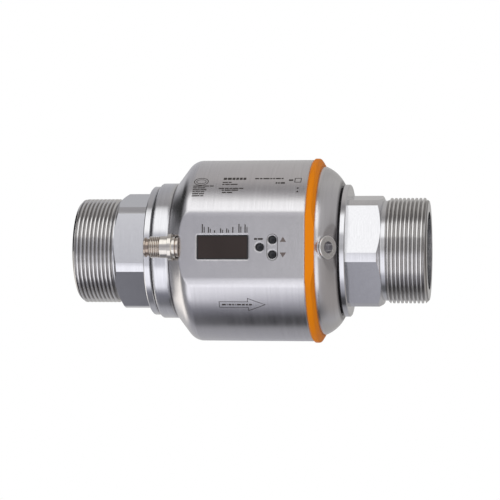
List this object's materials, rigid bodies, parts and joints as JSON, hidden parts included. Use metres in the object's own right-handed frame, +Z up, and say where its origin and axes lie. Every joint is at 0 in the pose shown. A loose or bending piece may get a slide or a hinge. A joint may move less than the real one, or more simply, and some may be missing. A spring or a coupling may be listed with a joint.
{
  "type": "electromagnetic flow meter",
  "caption": "Inline electromagnetic flow meter with threaded pipe ends, round steel housing with a display flat and buttons, and a round cable connector.",
  "frame": {"origin": "on the flow axis, half way between the two pipe ends", "axes": "+X along the pipe with the flow, -Y out of the display, +Z up beside the display"},
  "size_m": [0.2, 0.1068, 0.1048],
  "materials": {
    "drawn_steel": "fine satin, brushed round the body",
    "turned_steel": "machined, bright",
    "nickel": "nickel plated, bright",
    "orange_plastic": "smooth",
    "black_rubber": "matt",
    "window_brown": "smooth, dark tinted",
    "dark_plastic": "moulded",
    "button_black": "smooth",
    "board_green": "solder resist",
    "liner_plastic": "moulded",
    "copper": "enamelled wire",
    "iron": "laminated iron",
    "gold": "gold plated"
  },
  "bodies": {
    "meter": {"inlet_fitting": "turned_steel", "outlet_fitting": "turned_steel", "flow_tube": "turned_steel", "cap_plug": "turned_steel", "housing_shell": "drawn_steel", "end_cap": "drawn_steel", "housing_ring": "orange_plastic", "inlet_gasket": "black_rubber", "outlet_gasket": "black_rubber", "cap_seal": "black_rubber", "plug_seal": "black_rubber", "window_gasket": "black_rubber", "window_pane": "window_brown", "display_module": "dark_plastic", "key_switches": "dark_plastic", "main_board": "board_green", "board_carrier": "dark_plastic", "board_screws": "turned_steel", "tube_liner": "liner_plastic", "electrode_bushes": "liner_plastic", "bobbin_upper": "liner_plastic", "bobbin_lower": "liner_plastic", "coil_upper": "copper", "coil_lower": "copper", "core_upper": "iron", "core_lower": "iron", "magnet_yoke": "iron", "electrodes": "turned_steel", "electrode_nuts": "turned_steel", "temperature_probe": "turned_steel", "connector_shell": "nickel", "connector_insert": "dark_plastic", "connector_pins": "gold"},
    "enter_button": {"enter_button": "button_black"},
    "up_button": {"up_button": "button_black"},
    "down_button": {"down_button": "button_black"}
  },
  "joints": [
    {"name": "enter_button_press", "type": "slide", "parent": "meter", "child": "enter_button", "axis": [0, 1, 0], "range_m": [0, 0.0005], "stiffness_N_per_m": 400},
    {"name": "up_button_press", "type": "slide", "parent": "meter", "child": "up_button", "axis": [0, 1, 0], "range_m": [0, 0.0005], "stiffness_N_per_m": 400},
    {"name": "down_button_press", "type": "slide", "parent": "meter", "child": "down_button", "axis": [0, 1, 0], "range_m": [0, 0.0005], "stiffness_N_per_m": 400}
  ]
}
